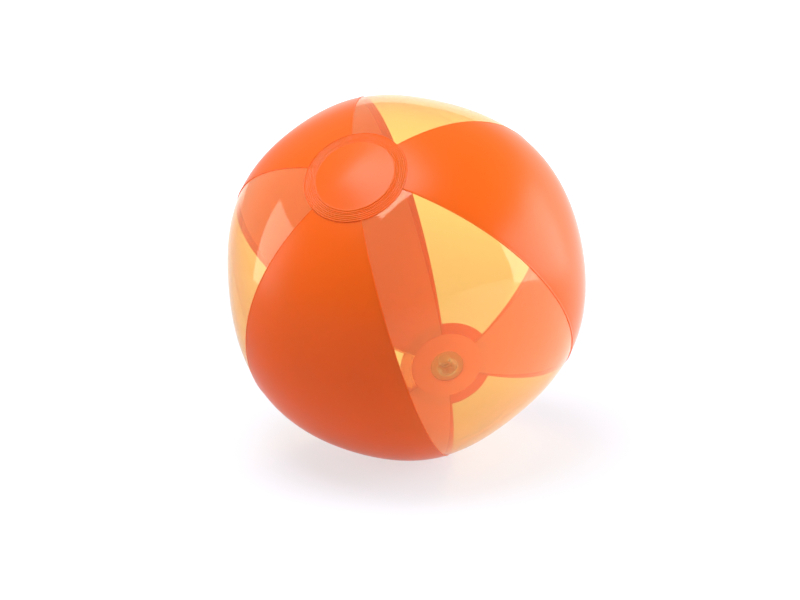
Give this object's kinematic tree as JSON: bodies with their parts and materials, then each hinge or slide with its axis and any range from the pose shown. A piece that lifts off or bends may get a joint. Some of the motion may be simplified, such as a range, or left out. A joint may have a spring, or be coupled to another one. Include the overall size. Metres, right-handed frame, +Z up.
{
  "type": "inflatable beach ball",
  "caption": "Inflated vinyl beach ball with opaque orange and clear yellow-orange gores, welded end discs and a push-in valve with a tethered plug.",
  "frame": {"origin": "the point on the ground under the middle of the ball, where it touches the ground", "axes": "+Z up, as the ball lies on the ground; the cap-to-cap axis leans 42 degrees from +Z, with the plain cap towards -Y and the valve cap towards +Y, low down"},
  "size_m": [0.263, 0.2643, 0.265],
  "materials": {
    "orange_film": "satin opaque vinyl film",
    "clear_film": "glossy see-through vinyl film",
    "valve_vinyl": "soft moulded vinyl, slightly cloudy"
  },
  "bodies": {
    "ball": {"panel_orange_1": "orange_film", "panel_orange_2": "orange_film", "panel_orange_3": "orange_film", "panel_clear_1": "clear_film", "panel_clear_2": "clear_film", "panel_clear_3": "clear_film", "end_cap_plain": "orange_film", "end_cap_valve": "orange_film", "valve_flange": "valve_vinyl", "valve_skirt": "valve_vinyl"},
    "valve": {"valve_stem": "valve_vinyl", "plug_strap": "valve_vinyl"},
    "plug": {"valve_plug": "valve_vinyl"},
    "flap": {"check_flap": "valve_vinyl"}
  },
  "joints": [
    {"name": "valve_push", "type": "slide", "parent": "ball", "child": "valve", "axis": [0, 0.6691, -0.7431], "range_m": [0, 0.012], "deforming": ["valve_skirt"]},
    {"name": "plug_swing", "type": "hinge", "parent": "valve", "child": "plug", "pos_m": [-0.0069, 0.08928, 0.03412], "axis": [0, 0.7431, 0.6691], "range_deg": [0, 140], "deforming": ["plug_strap"]},
    {"name": "flap_swing", "type": "hinge", "parent": "valve", "child": "flap", "pos_m": [-0.00395, 0.08021, 0.04419], "axis": [0, -0.7431, -0.6691], "range_deg": [0, 45], "stiffness_Nm_per_rad": 0.00002}
  ]
}
